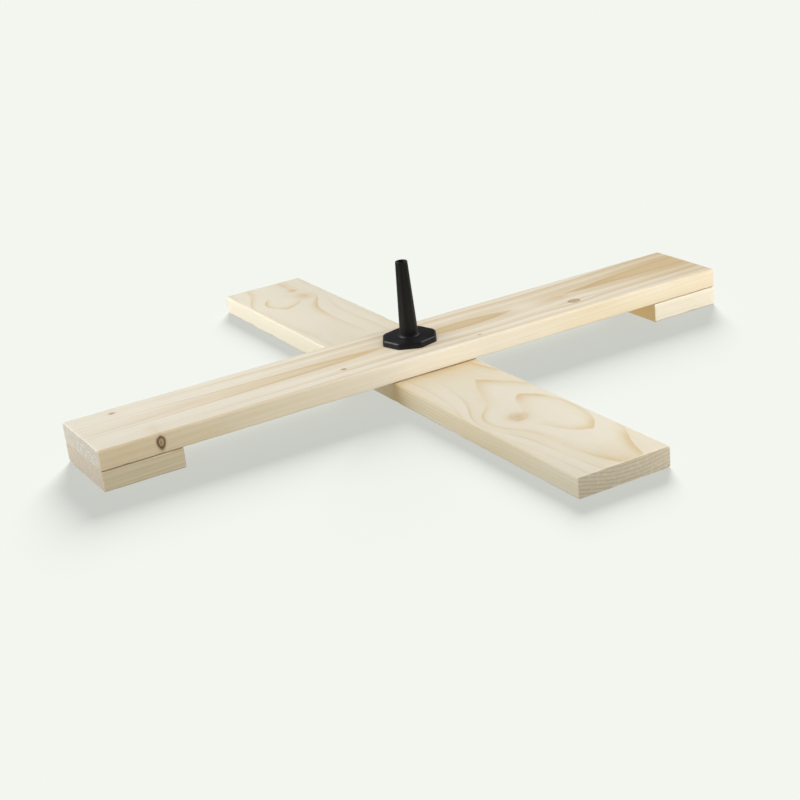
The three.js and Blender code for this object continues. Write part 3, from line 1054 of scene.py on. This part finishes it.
def studio_floor():
    corners = [(x * FLOOR_REACH, y * FLOOR_REACH, 0) for x, y in ((-1, -1), (1, -1), (1, 1), (-1, 1))]
    made = mesh_object("floor", corners, [(0, 1, 2, 3)])
    g = Graph(bpy.data.materials.new("floor"))
    glow = g.node("ShaderNodeEmission", {"Color": PALE, "Strength": FLOOR_GLOW}).outputs[0]
    grey = (*(FLOOR_SHADE * channel for channel in PALE[:3]), 1.0)
    shade = g.node("ShaderNodeBsdfDiffuse", {"Color": grey}).outputs[0]
    lit = g.node("ShaderNodeAddShader", {0: glow, 1: shade}).outputs[0]
    dim = g.node("ShaderNodeEmission", {"Color": PALE, "Strength": FLOOR_IN_GLOSS}).outputs[0]
    rays = g.node("ShaderNodeLightPath").outputs
    g.node("ShaderNodeOutputMaterial", {"Surface": g.mix_shaders(rays["Is Glossy Ray"], lit, dim)})
    made.data.materials.append(g.owner)
    made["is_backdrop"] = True
    return made


def studio_room():
    """Even pale light. Glossy surfaces see a dimmer room, as they would in a studio."""
    world = bpy.data.worlds.new("studio")
    bpy.context.scene.world = world
    g = Graph(world)
    room = g.node("ShaderNodeBackground", {"Color": WHITE, "Strength": ROOM_GLOW}).outputs[0]
    wall = g.node("ShaderNodeBackground", {"Color": PALE}).outputs[0]
    dim = g.node("ShaderNodeBackground", {"Color": ROOM_IN_GLOSS}).outputs[0]
    rays = g.node("ShaderNodeLightPath").outputs
    lit = g.mix_shaders(rays["Is Glossy Ray"], room, dim)
    g.node("ShaderNodeOutputWorld", {"Surface": g.mix_shaders(rays["Is Camera Ray"], lit, wall)})


floor = studio_floor()
studio_room()


# -------------------- lights

SOFTBOX = 0.3
SOFTBOX_SPREAD = math.radians(110)
ORIGIN = Vector((0, 0, 0))
SPIGOT_MIDDLE = (SPIGOT_LOW + SPIGOT_HIGH) / 2


def towards(azimuth, elevation):
    """A place one metre out, in the direction that a light comes from."""
    a, e = math.radians(azimuth), math.radians(elevation)
    return Vector((math.cos(a) * math.cos(e), math.sin(a) * math.cos(e), math.sin(e)))


def add_light(name, kind, place, aim, power, **settings):
    data = bpy.data.lights.new(name, kind)
    data.energy = power
    for key, value in settings.items():
        setattr(data, key, value)
    made = bpy.data.objects.new(name, data)
    made.location = place
    made.rotation_euler = (aim - place).to_track_quat("-Z", "Y").to_euler()
    bpy.context.scene.collection.objects.link(made)
    return made


def wide_light(name, azimuth, elevation, power, angle):
    return add_light(name, "SUN", towards(azimuth, elevation), ORIGIN, power, angle=math.radians(angle))


def softbox(name, place, aim, power, **settings):
    size = {"shape": "RECTANGLE", "size": SOFTBOX, "size_y": SOFTBOX}
    return add_light(name, "AREA", Vector(place), Vector(aim), power, **size, **settings)


def light_only(name, pieces, lights):
    """Lets some lights fall on some pieces alone."""
    group = bpy.data.collections.new(name)
    for piece in pieces:
        group.objects.link(piece)
    for light in lights:
        light.light_linking.receiver_collection = group


# A low light from behind throws the shadows forward on the floor.
light_only("floor_only", [floor], [wide_light("low_light", 56, 24, 23.2, 26)])

# Wide soft lights from above and in front, and softboxes at the sides, light all but the black spigot.
light_only("wood_and_metal", [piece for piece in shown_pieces() if piece != spigot], [
    wide_light("overhead", 90, 88, 0.92, 60),
    wide_light("front", -90, 45, 0.73, 50),
    wide_light("back", 90, 45, 0.31, 50),
    *(
        softbox(name, place, aim, power, spread=SOFTBOX_SPREAD)
        for name, place, aim, power in [
            ("right_softbox", (0.60, -0.35, 0.12), (0.30, -0.05, 0.03), 0.30),
            ("front_softbox", (0.20, -0.50, 0.25), (0.15, 0.00, 0.03), 0.41),
            ("far_left_softbox", (-0.45, 0.42, 0.24), (-0.05, 0.30, 0.02), 0.50),
            ("left_softbox", (-1.20, 0.10, 0.30), (0.00, 0.00, 0.03), 1.56),
        ]
    ),
])

# The black spigot has its own softboxes. They light its chamfer and its root, and leave its faces dark.
light_only("spigot_only", [spigot], [
    softbox(name, SPIGOT_MIDDLE + distance * towards(azimuth, elevation), SPIGOT_MIDDLE, power)
    for name, azimuth, elevation, distance, power in [
        ("spigot_left_softbox", 136, 41, 1.0, 5.0),
        ("spigot_right_softbox", -11, 41, 1.0, 2.4),
        ("spigot_back_softbox", 88, 24, 0.35, 0.02),
        ("spigot_low_right_softbox", 5, 12, 1.0, 0.9),
        ("spigot_low_left_softbox", 120, 12, 1.0, 0.4),
    ]
])


# -------------------- camera

AZIMUTH, ELEVATION, ROLL = (math.radians(d) for d in (-27.7, 21.05, 6.5))
AIM = Vector((-0.090, -0.136, 0.040))
DISTANCE = 1.4957
SENSOR_WIDTH, FOCAL_LENGTH = 36, 74.05  # in millimetres


def studio_camera():
    data = bpy.data.cameras.new("camera")
    data.sensor_width = SENSOR_WIDTH
    data.lens = FOCAL_LENGTH
    data.clip_start, data.clip_end = 0.01, 200
    made = bpy.data.objects.new("camera", data)
    back = Vector((
        math.sin(AZIMUTH) * math.cos(ELEVATION),
        -math.cos(AZIMUTH) * math.cos(ELEVATION),
        math.sin(ELEVATION),
    ))
    made.location = AIM + back * DISTANCE
    made.rotation_mode = "QUATERNION"
    level = (-back).to_track_quat("-Z", "Y")
    made.rotation_quaternion = level @ Matrix.Rotation(-ROLL, 3, "Z").to_quaternion()
    bpy.context.scene.collection.objects.link(made)
    bpy.context.scene.camera = made


studio_camera()
bpy.context.scene.view_settings.view_transform = "Standard"
